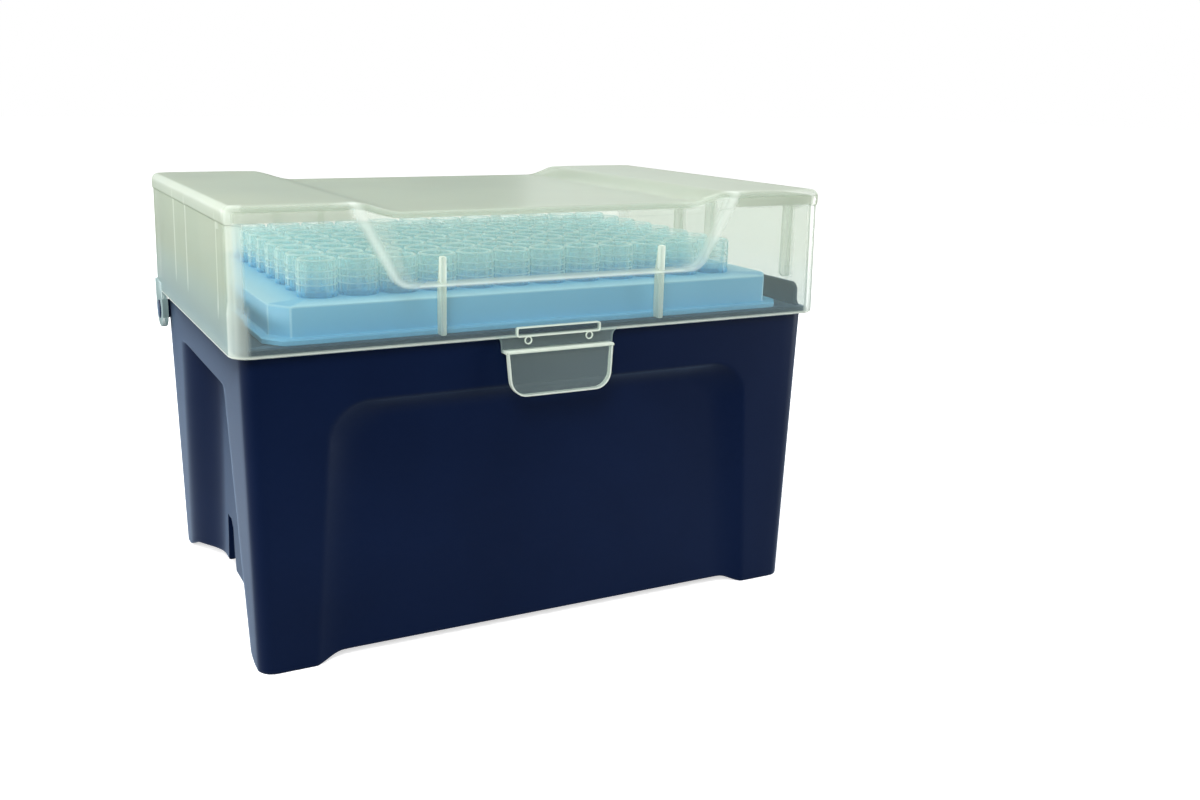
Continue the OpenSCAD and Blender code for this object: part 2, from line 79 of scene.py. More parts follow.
def white_ground():
    """Matt white, lifted to pure white where the camera sees it, so that only the box's shadow shows. To
    everything else its colour is a painted pool of light round the box, painted dim further out."""
    material, tree, out = new_finish("ground_white")
    path = add_node(tree, "LightPath")
    place = add_node(tree, "TexCoord")
    away = add_node(tree, "VectorMath", "LENGTH")
    # Painted pool of light: pale near the box and dark further out, for every ray but the camera's.
    pool = add_node(tree, "MapRange", From_Min=0.10, From_Max=0.34, To_Min=0.34, To_Max=0.06)
    seen = add_node(tree, "Mix", B=0.80)
    grain = add_node(tree, "TexNoise", Scale=40)
    uneven = add_node(tree, "MapRange", To_Min=0.97, To_Max=1.03)
    tint = add_node(tree, "Math", "MULTIPLY")
    matt = add_node(tree, "BsdfDiffuse")
    lift = add_node(tree, "Math", "MULTIPLY")
    lift.inputs[1].default_value = 0.63
    glow = add_node(tree, "Emission")
    both = add_node(tree, "AddShader")
    join(tree, (place.outputs["Object"], away.inputs[0]), (away.outputs["Value"], pool.inputs["Value"]),
         (pool.outputs["Result"], seen.inputs["A"]), (path.outputs["Is Camera Ray"], seen.inputs["Factor"]),
         (grain.outputs["Fac"], uneven.inputs["Value"]), (seen.outputs["Result"], tint.inputs[0]),
         (uneven.outputs["Result"], tint.inputs[1]), (tint.outputs[0], matt.inputs["Color"]),
         (path.outputs["Is Camera Ray"], lift.inputs[0]), (lift.outputs[0], glow.inputs["Strength"]),
         (matt.outputs[0], both.inputs[0]), (glow.outputs[0], both.inputs[1]),
         (both.outputs[0], out.inputs["Surface"]))
    return material


ground_mesh = bpy.data.meshes.new("ground")
table_corners = ((-1, -1), (1, -1), (1, 1), (-1, 1))
ground_mesh.from_pydata([(x * table_half, y * table_half, 0) for x, y in table_corners], [], [(0, 1, 2, 3)])
ground = bpy.data.objects.new("ground", ground_mesh)
scene.collection.objects.link(ground)
ground.data.materials.append(white_ground())

# The room is brightest high up behind the left end, dim on the opposite side, and white where it is seen.
world = bpy.data.worlds.new("room")
world.use_nodes = True
scene.world = world
sky = world.node_tree
backdrop = sky.nodes["Background"]
backdrop.inputs["Color"].default_value = (1, 1, 1, 1)
path = add_node(sky, "LightPath")
way = add_node(sky, "TexCoord")
towards = add_node(sky, "VectorMath", "DOT_PRODUCT")
towards.inputs[1].default_value = Vector((-0.62, 0.45, 0.58)).normalized()
room = add_node(sky, "MapRange", From_Min=-0.1, From_Max=0.95, To_Min=0.20, To_Max=0.86)
seen = add_node(sky, "Mix", B=1.0)
join(sky, (way.outputs["Generated"], towards.inputs[0]), (towards.outputs["Value"], room.inputs["Value"]),
     (path.outputs["Is Camera Ray"], seen.inputs["Factor"]), (room.outputs["Result"], seen.inputs["A"]),
     (seen.outputs["Result"], backdrop.inputs["Strength"]))


def soft_light(name, place, aim_height, width, height, power):
    """A window or bounce card, in metres, turned to a height on the upright through the box's middle."""
    lamp = bpy.data.lights.new(name, "AREA")
    lamp.shape = "RECTANGLE"
    lamp.size, lamp.size_y, lamp.energy = width, height, power
    holder = bpy.data.objects.new(name, lamp)
    holder.location = place
    to_box = Vector((0, 0, aim_height)) - Vector(place)
    holder.rotation_euler = to_box.to_track_quat("-Z", "Y").to_euler()
    scene.collection.objects.link(holder)


soft_light("window_left", (-0.70, 0.26, 0.15), 0.05, 1.5, 0.26, 6.4)
soft_light("window_above", (-0.05, 0.10, 0.80), 0.05, 0.7, 0.7, 2.9)
soft_light("bounce_front", (-0.40, -0.64, 0.66), 0.06, 0.4, 0.4, 8.0)
soft_light("window_far_right", (0.75, 0.80, 0.35), 0.08, 0.7, 0.5, 0.8)
soft_light("window_right", (0.87, -0.36, 0.055), 0.04, 0.5, 0.09, 6.0)

# The camera: where it stands, the way it looks with a small roll, and its lens.
camera_place = (-115.4 * mm, -271.1 * mm, 122.2 * mm)
look = Vector((0.4292, 0.8664, -0.2554)).normalized()
roll = math.radians(-0.94)
film_width, frame_width, reach = 36, 1200, 1173.22      # reach: the lens's length in the frame's own units
level_right = look.cross(Vector((0, 0, 1))).normalized()
level_down = look.cross(level_right).normalized()
right = math.cos(roll) * level_right + math.sin(roll) * level_down
down = -math.sin(roll) * level_right + math.cos(roll) * level_down
camera_data = bpy.data.cameras.new("camera")
camera_data.sensor_width = film_width
camera_data.lens = film_width * reach / frame_width
camera_data.shift_x, camera_data.shift_y = 0.0487, -0.0029
camera_data.clip_start, camera_data.clip_end = 0.01, 20
camera = bpy.data.objects.new("camera", camera_data)
turn = Matrix((right, -down, -look)).transposed()
camera.matrix_world = Matrix.Translation(camera_place) @ turn.to_4x4()
scene.collection.objects.link(camera)
scene.camera = camera

# ---- Base ---------------------------------------------------------------------------------------
# One dark blue moulding of polypropylene. Its walls lean in slightly towards four feet, with a
# shallow panel sunk into the front and the back and a hollow grip in each end.

edge_z = 69.7                               # height of the lid's lower edge
rim_z, rim_low = 71.1, 69.4                 # top and underside of the base's rim
y_mid = 1.0                                 # the catch tab stands out in front, so the box's middle lies back
wall_x, wall_y, wall_r = 68.9, 45.5, 3.6    # half width, half depth and corner radius at the top of the walls
wall_lean = 1.0                             # how far they draw in down to the table
base_wall = 1.6
rim_x, rim_y, rim_r = 69.5, 45.95, 2.55
hole_x, hole_y, hole_r = 62.3, 43.1, 3.0    # the opening in the rim that the deck closes
floor_low, floor_top = 3.4, 5.0
feet_z = 22.0                               # below this the wall's rows follow the bottom edge
hinge_y, hinge_z = 42.0, edge_z - 5


def ease(t):
    """0 to 1 with a level start and end."""
    t = np.clip(t, 0, 1)
    return t * t * (3 - 2 * t)


def soft_ease(t):
    """The same with a softer start and end."""
    t = np.clip(t, 0, 1)
    return t**3 * (10 - 15 * t + 6 * t * t)


def inside_outline(x, v, half, lean, top, r):
    """How far (x, v) lies inside an outline with a straight top edge, two leaning sides and round corners."""
    x = np.abs(x)
    ca, sa = math.cos(lean), math.sin(lean)
    side = (x - half) * ca + (v - top) * sa + r
    dx, dv = x - (half - r * (1 - sa) / ca), v - (top - r)
    corner = (dx > 0) & (-sa * dx + ca * dv > 0)
    return r - np.where(corner, np.hypot(dx, dv), np.maximum(side, dv))


def between(inner, outer):
    """0 on the outer outline, 1 on the inner one."""
    outer = np.clip(outer, 0, None)
    return outer / np.maximum(outer + np.clip(-inner, 0, None), 1e-6)


def ring_points(hx, hy, r, along_x, along_y, arc):
    """A rounded rectangle from the front's left end, anticlockwise. along_x and along_y run from -1 to 1.
    Gives x, y and the side of each point: 0 front, 1 right, 2 back, 3 left, 4 a corner."""
    pts = []
    sx, sy = hx - r, hy - r
    turns = [(sx, -sy, -90), (sx, sy, 0), (-sx, sy, 90), (-sx, -sy, 180)]
    runs = [[(u * sx, -hy, 0) for u in along_x], [(hx, u * sy, 1) for u in along_y],
            [(-u * sx, hy, 2) for u in along_x], [(-hx, -u * sy, 3) for u in along_y]]
    for run, (cx, cy, start) in zip(runs, turns):
        pts += run
        for k in range(1, arc):
            a = math.radians(start + 90 * k / arc)
            pts.append((cx + r * math.cos(a), cy + r * math.sin(a), 4))
    return np.array(pts)


def long_sides(side):
    return (side == 0) | (side == 2)


def end_sides(side):
    return (side == 1) | (side == 3)


def steps(*stretches):
    """Values from stretches of (first, last, spacing)."""
    out = []
    for a, b, d in stretches:
        n = max(1, round((b - a) / d))
        out += [a + (b - a) * k / n for k in range(n)]
    return out + [stretches[-1][1]]


def both_ways(half_steps):
    """The steps and their mirror images, with 0 once."""
    above = [v for v in half_steps if v > 1e-9]
    return [-v for v in reversed(above)] + ([0.0] if half_steps[0] == 0 else []) + above


panel_in, panel_top, panel_lean = 2.6, 58.8, math.atan(4.7 / 62.8)
panel_half, panel_r = 51.2, 9.3             # the panel's border at its top corners
bed_half, bed_r, bed_drop = 42.4, 6.0, 4.8  # the flat bed inside the border
panel_round = 2.4                           # how fully the border's hollow is rounded
grip_in, grip_top, grip_lean = 7.0, 59.3, math.radians(9.5)
grip_half, flank_l = 27.0, 18.0
grip_r, roof_run = 4.0, 0.7
front_x = both_ways(steps((0, 36, 6), (36, 57, 0.7), (57, 65.3, 2.8)))
end_y = both_ways([0, 3.5, 7.0, 7.5, 8.6, 10.4, 12.4, 14.4, 15.5] + steps((16.5, 40, 1.1), (40, 41.9, 1.9)))
base_u = [x / front_x[-1] for x in front_x]
base_v = [y / end_y[-1] for y in end_y]
corner_steps = 8


def base_ring(z, inset):
    """The base's wall at height z: its outside, or its inside when inset is the wall's thickness."""
    lean = wall_lean * (rim_z - z) / rim_z
    p = ring_points(wall_x - inset - lean, wall_y - inset - lean, wall_r - 0.75 * inset,
                    base_u, base_v, corner_steps)
    x, y, side = p[:, 0].copy(), p[:, 1].copy(), p[:, 2]
    level = np.full(len(p), float(z))
    outer = inside_outline(x, level, panel_half + inset, panel_lean, panel_top + inset, panel_r + inset)
    bed_top = panel_top - bed_drop
    inner = inside_outline(x, level, bed_half + inset, panel_lean, bed_top + inset, bed_r + inset)
    sunk = (panel_in - lean) * (1 - (1 - between(inner, outer))**panel_round)
    y -= np.where(long_sides(side), np.sign(y) * sunk, 0)
    half = grip_half + 0.5 * inset
    slanted_half = half + (grip_top - z) * math.tan(grip_lean)
    hollow = (grip_in - lean) * soft_ease((slanted_half - np.abs(y)) / flank_l)
    roof = inside_outline(y, level, half, grip_lean, grip_top + inset, grip_r)
    hollow *= ease(roof / roof_run + 0.5)
    x -= np.where(end_sides(side), np.sign(x) * hollow, 0)
    return x, y, side


def base_bottom(x, y, side):
    """Height of the bottom edge: nothing at the feet, raised between them, with two slots in each end."""
    front_lift, front_half, front_run = 1.9, 55.9, 6.5
    end_lift, end_half, end_run = 2.8, 39.5, 9.0
    slot_top, slot_y, slot_half, slot_run = 16.0, 11.5, 4.05, 1.1
    front = front_lift * ease((front_half - np.abs(x)) / front_run)
    ends = end_lift * ease((end_half - np.abs(y)) / end_run)
    slot = np.clip((slot_half - np.abs(np.abs(y) - slot_y)) / slot_run, 0, 1)
    ends = ends + (slot_top - ends) * slot
    return np.where(long_sides(side), front, np.where(end_sides(side), ends, 0))


def flat_ring(hx, hy, r, z):
    """A level ring for the rim, with as many points as the wall's rings."""
    p = ring_points(hx, hy, r, base_u, base_v, corner_steps)
    return np.column_stack([p[:, 0], p[:, 1], np.full(len(p), z)])


def wall_ring(z, inset):
    """A level ring of the wall."""
    x, y, _ = base_ring(max(z, 0.0), inset)
    return np.column_stack([x, y, np.full(len(x), float(z))])


def foot_ring(lift, inset, tuck=0.0):
    """A ring that follows the bottom edge, lift above it, drawn in by tuck."""
    x, y, side = base_ring(lift, inset)
    z = base_bottom(x, y, side)
    x = x - np.sign(x) * np.where(long_sides(side), 0, tuck)
    y = y - np.sign(y) * np.where(end_sides(side), 0, tuck)
    return np.column_stack([x, y, z + lift * (1 - z / feet_z)])


def loft(rings, first_cap=True, last_cap=True):
    """A skin through rings of as many points each, with flat ends."""
    n = len(rings[0])
    verts = [tuple(p) for ring in rings for p in ring]
    faces = []
    for k in range(len(rings) - 1):
        a, b = k * n, (k + 1) * n
        faces += [(a + i, a + (i + 1) % n, b + (i + 1) % n, b + i) for i in range(n)]
    if first_cap:
        faces.append(tuple(reversed(range(n))))
    if last_cap:
        faces.append(tuple(range((len(rings) - 1) * n, len(rings) * n)))
    return verts, faces


def outline_slab(points, z0, z1):
    """A slab with that outline in x and y, from z0 to z1."""
    n = len(points)
    verts = [(x, y, z0) for x, y in points] + [(x, y, z1) for x, y in points]
    faces = [tuple(reversed(range(n))), tuple(range(n, 2 * n))]
    faces += [(i, (i + 1) % n, n + (i + 1) % n, n + i) for i in range(n)]
    return verts, faces


def turned(shape, axes, shift=(0, 0, 0)):
    """The same shape with its x, y, z sent to other axes, such as "yzx", then moved."""
    order = [axes.index(a) for a in "xyz"]
    return [tuple(v[k] + d for k, d in zip(order, shift)) for v in shape[0]], shape[1]


def flipped(shape, across):
    """The same shape mirrored in x or y."""
    k = "xy".index(across)
    verts = [tuple(-c if i == k else c for i, c in enumerate(v)) for v in shape[0]]
    return verts, [tuple(reversed(f)) for f in shape[1]]


def circle(r, sides, x=0.0, y=0.0):
    """Points round a circle."""
    turns = [2 * math.pi * k / sides for k in range(sides)]
    return [(x + r * math.cos(a), y + r * math.sin(a)) for a in turns]


def rod(r, z0, z1, x, y, round_end):
    """A round rod along z with an eased upper end."""
    profile = [(r, z0), (r, z1 - round_end)]
    profile += [(r - round_end * (1 - math.cos(a)), z1 - round_end + round_end * math.sin(a))
                for a in (0.5, 1.0, math.pi / 2)]
    return loft([[(px, py, z) for px, py in circle(q, 32, x, y)] for q, z in profile])


def eased(shape, size, count=2, angle=35):
    """The same shape with its edges rounded."""
    bm = bmesh.new()
    made = [bm.verts.new(v) for v in shape[0]]
    for f in shape[1]:
        bm.faces.new([made[i] for i in f])
    bmesh.ops.recalc_face_normals(bm, faces=bm.faces)
    bm.normal_update()
    sharp = [e for e in bm.edges if len(e.link_faces) == 2 and e.calc_face_angle(0) > math.radians(angle)]
    bmesh.ops.bevel(bm, geom=sharp, offset=size, segments=count, profile=0.5, affect="EDGES",
                    clamp_overlap=True)
    bm.verts.index_update()
    verts = [tuple(v.co) for v in bm.verts]
    faces = [tuple(v.index for v in f.verts) for f in bm.faces]
    bm.free()
    return verts, faces


def moulding(name, shapes, material, smooth_angle=38, depth_and_glow=None):
    """One object from all the shapes of one moulding, in millimetres about the box's middle. Its last
    argument, a function of (x, y, z), gives the value for depth and painted glow that a finish reads at a
    place; a shape's third item stands in for it."""
    verts, faces, depths = [], [], []
    for points, sides, *own in shapes:
        start = len(verts)
        verts += [(x * mm, (y + y_mid) * mm, z * mm) for x, y, z in points]
        faces += [tuple(start + i for i in f) for f in sides]
        if depth_and_glow:
            depths += own * len(points) if own else [depth_and_glow(*p) for p in points]
    mesh = bpy.data.meshes.new(name)
    mesh.from_pydata(verts, [], faces)
    if depth_and_glow:
        # The value for depth and painted glow, kept on each point for the finish.
        mesh.attributes.new("depth_and_glow", "FLOAT", "POINT").data.foreach_set("value", depths)
    bm = bmesh.new()
    bm.from_mesh(mesh)
    bmesh.ops.recalc_face_normals(bm, faces=bm.faces)
    bm.to_mesh(mesh)
    bm.free()
    mesh.shade_smooth()
    mesh.set_sharp_from_angle(angle=math.radians(smooth_angle))
    piece = bpy.data.objects.new(name, mesh)
    scene.collection.objects.link(piece)
    mesh.materials.append(material)
    return piece


def base_shapes():
    """The box, the walls at the rim's ends, the gussets, the trunnions and the catch nose."""
    rows = steps((2.5, 44, 3.2), (44, 54, 1.0), (54, 60.4, 0.35), (60.4, 69.2, 2.2))
    inner_rows = [69.39] + steps((66, 60, -3), (60, 48, -1.2), (48, floor_top, -6))
    # The floor's underside, the rounded bottom edge, the outside, the rim, and the inside down to the floor.
    rings = [wall_ring(floor_low, base_wall), foot_ring(0.0, base_wall, -0.35)]
    foot_rows = ((0.0, 0.35), (0.12, 0.1), (0.4, 0), (1.0, 0), (1.7, 0))
    rings += [foot_ring(lift, 0.0, tuck) for lift, tuck in foot_rows]
    rings += [foot_ring(z, 0.0) if z < feet_z else wall_ring(z, 0.0) for z in rows]
    rings += [flat_ring(rim_x - tuck, rim_y - tuck, rim_r, z) for tuck, z in
              ((0.15, rim_low), (0, 69.55), (0, rim_z - 0.3), (0.09, rim_z - 0.09), (0.3, rim_z))]
    rings += [flat_ring(hole_x + out, hole_y + out, hole_r, z) for out, z in
              ((0.2, rim_z), (0, rim_z - 0.2), (0, rim_low))]
    rings += [wall_ring(z, base_wall) for z in inner_rows]
    shapes = [loft(rings)]
    # The low walls at the two ends of the rim, with flared feet and round top corners.
    quarter = [k * math.pi / 12 for k in range(7)]
    flare_y, flare_r = 44.3, 1.6
    top_y, top_z, top_r = 40.4, 74.3, 2.3
    edge = [(flare_y - flare_r * math.sin(a), rim_z + flare_r * (1 - math.cos(a))) for a in quarter]
    edge += [(top_y + top_r * math.cos(a), top_z + top_r * math.sin(a)) for a in quarter]
    profile = [(-flare_y, rim_z - 0.4), (flare_y, rim_z - 0.4)] + edge + [(-y, z) for y, z in reversed(edge)]
    right_wall = eased(turned(outline_slab(profile, 67.2, 68.4), "yzx"), 0.2)
    shapes += [right_wall, flipped(right_wall, "x")]
    # Gussets under the rim.
    seat, half = edge_z - 0.1, 0.7
    end_web = [(hole_x, seat), (68.1, seat), (68.1, 60.1), (66.7, 60.1), (hole_x, 68.1)]
    for y in (-33, -11, 11, 33):
        gusset = turned(outline_slab(end_web, y - half, y + half), "xzy")
        shapes += [gusset, flipped(gusset, "x")]
    long_web = [(hole_y, seat), (44.7, seat), (44.7, 59.6), (43.5, 59.6), (hole_y, 68.1)]
    for x in (-50, -17, 17, 50):
        gusset = turned(outline_slab(long_web, x - half, x + half), "yzx")
        shapes += [gusset, flipped(gusset, "y")]
    # Trunnions for the lid's ears.
    pin = turned(rod(2.42, 68.1, 71.5, hinge_y, hinge_z, 0.35), "yzx")
    shapes += [pin, flipped(pin, "x")]
    # The nose that the catch slot snaps over.
    nose = [(-44.9, 70.2), (-46.5, 70.2), (-46.8, 70.45), (-46.75, 70.75), (-46.2, 71.1), (-44.9, 71.1)]
    shapes.append(turned(eased(outline_slab(nose, -9.4, 9.4), 0.12), "yzx"))
    return shapes


def drifting_tone(tree, place, scale, detail, low, high):
    """Noise and a ramp that drifts between two tones, each given as (where on the noise, colour)."""
    cloud = add_node(tree, "TexNoise", Scale=scale, Detail=detail)
    shade = add_node(tree, "ValToRGB")
    for stop, (position, colour) in zip(shade.color_ramp.elements, (low, high)):
        stop.position = position
        stop.color = (*colour, 1)
    join(tree, (place.outputs["Object"], cloud.inputs["Vector"]), (cloud.outputs["Fac"], shade.inputs["Fac"]))
    return cloud, shade


def grain_relief(tree, place, shader, scale, strength, height):
    """A fine grain of that height in metres, in relief on the shader."""
    grain = add_node(tree, "TexNoise", Scale=scale)
    relief = add_node(tree, "Bump", Strength=strength, Distance=height)
    join(tree, (place.outputs["Object"], grain.inputs["Vector"]),
         (grain.outputs["Fac"], relief.inputs["Height"]), (relief.outputs["Normal"], shader.inputs["Normal"]))


def navy_plastic():
    """Dark blue polypropylene with a fine eroded grain, uneven in gloss, and paler where seen at a slant."""
    material, tree, out = new_finish("navy_plastic")
    shader = add_node(tree, "BsdfPrincipled", Specular_IOR_Level=0.13, Specular_Tint=(0.72, 0.90, 1.0, 1),
                      Sheen_Weight=0.36, Sheen_Roughness=0.35, Sheen_Tint=(0.48, 0.70, 1.0, 1))
    place = add_node(tree, "TexCoord")
    cloud, shade = drifting_tone(tree, place, 26, 4, (0.32, (0.0009, 0.0048, 0.0245)),
                                 (0.72, (0.0014, 0.0066, 0.0320)))
    gloss = add_node(tree, "MapRange", To_Min=0.32, To_Max=0.40)
    grain_relief(tree, place, shader, 2600, 0.22, 0.00006)
    join(tree, (shade.outputs["Color"], shader.inputs["Base Color"]),
         (cloud.outputs["Fac"], gloss.inputs["Value"]), (gloss.outputs["Result"], shader.inputs["Roughness"]),
         (shader.outputs[0], out.inputs["Surface"]))
    return material


base = moulding("base_moulding", base_shapes(), navy_plastic())
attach(base, "box")
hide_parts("base")

# ---- Deck ---------------------------------------------------------------------------------------
# A light blue tray, one moulding, that lies on the base's rim by its flange. The plate has a round
# hole for each tip, on a 9 mm grid, and its corners are cut off.

deck_x, deck_y, deck_top = 61.6, 42.4, 78.8
cut_x, cut_y = 3.5, 4.9
pitch = 9.0
tip_columns, tip_rows = 12, 8
hole_radius, hole_sides = 3.72, 24


def round_corners(points, radii, count=5):
    """A polygon with its corners rounded."""
    out = []
    n = len(points)
    for i, (p, r) in enumerate(zip(points, radii)):
        p, a, b = Vector(p), Vector(points[i - 1]), Vector(points[(i + 1) % n])
        u, w = (a - p).normalized(), (b - p).normalized()
        half = math.acos(max(-1, min(1, u.dot(w)))) / 2
        start, end = p + u * (r / math.tan(half)), p + w * (r / math.tan(half))
        centre = p + (u + w).normalized() * (r / math.sin(half))
        a0, a1 = math.atan2(*(start - centre).yx), math.atan2(*(end - centre).yx)
        sweep = (a1 - a0 + math.pi) % (2 * math.pi) - math.pi
        for k in range(count + 1):
            t = a0 + sweep * k / count
            out.append((centre.x + r * math.cos(t), centre.y + r * math.sin(t)))
    return out


def cut_outline(hx, hy, r):
    """The deck's outline: a rectangle with cut corners, the cuts' ends rounded."""
    pts = [(-hx + cut_x, -hy), (hx - cut_x, -hy), (hx, -hy + cut_y), (hx, hy - cut_y),
           (hx - cut_x, hy), (-hx + cut_x, hy), (-hx, hy - cut_y), (-hx, -hy + cut_y)]
    return round_corners(pts, [r] * 8)


def tip_places():
    """The middle of each hole, column by column."""
    return [((i - (tip_columns - 1) / 2) * pitch, (j - (tip_rows - 1) / 2) * pitch)
            for i in range(tip_columns) for j in range(tip_rows)]


def cut_flat(points, edges):
    """A flat face cut along those edges: its points, its faces and where each given point went."""
    made, _, faces, source, _, _ = delaunay_2d_cdt(points, edges, [], 1, 1e-6)
    return made, faces, {given: i for i, from_given in enumerate(source) for given in from_given}


def loop_edges(first, count):
    return [(first + k, first + (k + 1) % count) for k in range(count)]


def holed_plate(outline, z):
    """A flat face with the tips' holes in it, the ring of each hole and the outline's ring."""
    pts = [Vector(p) for p in outline]
    n = len(pts)
    edges = loop_edges(0, n)
    holes = []
    for x, y in tip_places():
        holes.append(len(pts))
        edges += loop_edges(len(pts), hole_sides)
        pts += [Vector(p) for p in circle(hole_radius, hole_sides, x, y)]
    made, faces, went = cut_flat(pts, edges)
    centres = np.array(tip_places())
    keep = []
    for f in faces:
        middle = np.mean([[made[i].x, made[i].y] for i in f], axis=0)
        if np.min(np.hypot(*(centres - middle).T)) > hole_radius * 0.99:
            keep.append(tuple(f))
    rings = [[went[s + k] for k in range(hole_sides)] for s in holes]
    return [(p.x, p.y, z) for p in made], keep, rings, [went[i] for i in range(n)]


def deck_shapes():
    """The holed plate, the skirt and the flange as one skin."""
    skirt, plate, soft, flange, flange_r = 1.2, 1.6, 0.5, 1.9, 5.2
    verts, faces, holes, rim = holed_plate(cut_outline(deck_x - soft, deck_y - soft, 0.9), deck_top)
    low_outline = cut_outline(deck_x - skirt, deck_y - skirt, 0.6)
    low_verts, low_faces, low_holes, low_rim = holed_plate(low_outline, deck_top - plate)
    start = len(verts)
    verts += low_verts
    faces += [tuple(start + i for i in reversed(f)) for f in low_faces]

    def level(out, z, r=1.2):
        return [(x, y, z) for x, y in cut_outline(deck_x + out, deck_y + out, r)]

    def flange_level(out, z):
        """The flange's corners are round rather than cut."""
        mid_x, mid_y = deck_x + out - flange_r, deck_y + out - flange_r
        ring = []
        for x, y, _ in level(out, z):
            dx, dy = abs(x) - mid_x, abs(y) - mid_y
            if dx > 0 and dy > 0:
                k = flange_r / math.hypot(dx, dy)
                x, y = math.copysign(mid_x + dx * k, x), math.copysign(mid_y + dy * k, y)
            ring.append((x, y, z))
        return ring

    # The outside from the top's border down to the flange, round the flange, and up the inside.
    levels = [level(-0.15, deck_top - 0.15), level(0, deck_top - soft), level(0, rim_z + 1.45),
              level(0.25, rim_z + 1.2), flange_level(flange - 0.15, rim_z + 1.2),
              flange_level(flange, rim_z + 1.05), flange_level(flange, rim_z + 0.15),
              flange_level(flange - 0.15, rim_z), level(-skirt, rim_z, 0.6)]
    loops = [rim]
    for ring in levels:
        loops.append(range(len(verts), len(verts) + len(ring)))
        verts += ring
    loops.append([start + i for i in low_rim])
    hole_walls = [(ring, [start + i for i in low_ring]) for ring, low_ring in zip(holes, low_holes)]
    for a, b in hole_walls + list(zip(loops, loops[1:])):
        n = len(a)
        faces += [(a[(k + 1) % n], a[k], b[k], b[(k + 1) % n]) for k in range(n)]
    return [(verts, faces)]


def deck_edge_highlight(x, y, z):
    """The painted edge highlight, for light that comes in from two sides: full along the top's border, less
    where the cut corners' uprights stand."""
    dx, dy = abs(x) - deck_x, abs(y) - deck_y
    border = max(dx, dy, (dx + cut_x + dy * cut_x / cut_y) * 0.81) > -0.6
    upright = min(math.hypot(dx, dy + cut_y), math.hypot(dx + cut_x, dy)) < 0.35
    if z < rim_z + 1.3 or not border:
        return 0.0
    return 1.0 if z > deck_top - 0.3 else 0.7 if upright else 0.0


def depth_and_glow_value(tree):
    """The value for depth and painted glow that moulding() gave the place."""
    value = add_node(tree, "Attribute")
    value.attribute_name = "depth_and_glow"
    return value.outputs["Fac"]


def sky_plastic():
    """Light blue polypropylene: satin, slightly waxy, a touch uneven, with a painted highlight at its edges.
    """
    material, tree, out = new_finish("sky_plastic")
    shader = add_node(tree, "BsdfPrincipled", Roughness=0.42)
    place = add_node(tree, "TexCoord")
    _, shade = drifting_tone(tree, place, 30, 2, (0.3, (0.14, 0.435, 0.70)), (0.7, (0.17, 0.475, 0.74)))
    # Painted edge highlight: the colour turns to this paler blue along the marked edges.
    paler = add_node(tree, "Mix", "RGBA", B=(0.36, 0.64, 0.82, 1))
    grain_relief(tree, place, shader, 1800, 0.12, 0.00005)
    join(tree, (shade.outputs["Color"], paler.inputs["A"]), (depth_and_glow_value(tree), paler.inputs["Factor"]),
         (paler.outputs["Result"], shader.inputs["Base Color"]), (shader.outputs[0], out.inputs["Surface"]))
    return material


deck = moulding("deck_tray", deck_shapes(), sky_plastic(), depth_and_glow=deck_edge_highlight)
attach(deck, "box")
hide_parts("deck")

# ---- Tips ---------------------------------------------------------------------------------------
# 96 clear one-piece tips of polypropylene in 12 columns of 8. Each hangs in the deck by a fluted
# collar, and its body tapers to a fine open end, with a raised ring at each graduation.

tip_top = 86.8
tip_len, collar_h = 70.0, 8.0
collar_rings = (2.3, 3.8, 5.3)              # heights below the top of the fine rings round the collar
graduations = (17.7, 32.9, 42.5)
flute_count, flute_out = 12, 0.19
flute_edges = (-9.5, -5.0, 5.0, 9.5)        # degrees from a flute's middle: foot, crest, crest, foot
flute_turns = [math.radians(15 + 30 * i + a) for i in range(flute_count) for a in flute_edges]


def tip_shape(x0, y0):
    """One tip as one skin: the mouth, the fluted collar, the body and the bore."""
    # (radius, height from the top, how far the flutes stand out), up the mouth and down the outside
    mouth = [(3.05, -8.1, 0), (3.35, -7.5, 0), (3.35, -0.5, 0), (3.50, -0.22, 0)]
    lip = [(3.70, 0.0, 0), (3.86, 0.0, 0), (4.04, -0.08, 0), (4.13, -0.28, 0), (4.15, -0.5, 0.03),
           (4.15, -0.75, flute_out)]
    rings = [(r, dz - h, out) for h in collar_rings for r, dz, out in
             ((4.15, 0.2, flute_out), (4.35, 0.1, 0), (4.35, -0.1, 0), (4.15, -0.2, flute_out))]
    band = [(4.15, -6.78, flute_out), (4.36, -6.84, 0), (4.37, -7.7, 0), (4.29, -7.94, 0),
            (4.12, -collar_h, 0), (3.6, -collar_h, 0)]
    # (radius, height from the top) of the plain body, down the outside and up the bore
    body = [(3.60, -8.02), (3.54, -17.5), (3.60, -17.54), (3.60, -17.81), (3.52, -17.85), (3.20, -32.7),
            (3.26, -32.74), (3.26, -33.01), (3.19, -33.05), (2.85, -42.3), (2.89, -42.34), (2.88, -42.6),
            (2.83, -42.64), (0.85, -tip_len)]
    bore = [(0.4, -tip_len), (2.30, -42.3), (2.65, -32.7), (3.04, -8.2)]
    around = len(flute_turns)
    crest = (False, True, True, False)

    def level(r, z, out, each):
        radii = [r + (out if crest[k % 4] else 0) for k in range(around)]
        return [(x0 + radii[k] * math.cos(flute_turns[k]), y0 + radii[k] * math.sin(flute_turns[k]),
                 tip_top + z) for k in range(0, around, each)]

    verts, faces = loft([level(r, z, out, 1) for r, z, out in mouth + lip + rings + band], False, False)
    start, last, half = len(verts), len(verts) - around, around // 2
    tube, tube_faces = loft([level(r, z, 0, 2) for r, z in body + bore], False, False)
    verts += tube
    faces += [tuple(start + i for i in f) for f in tube_faces]
    # The body has half as many sides as the collar: stitch it on under the collar and inside the mouth.
    end = len(verts) - half
    for k in range(half):
        nxt = (k + 1) % half
        faces.append((last + 2 * k, last + 2 * k + 1, last + 2 * nxt, start + nxt, start + k))
        faces.append((end + k, end + nxt, 2 * nxt, 2 * k + 1, 2 * k))
    return verts, faces


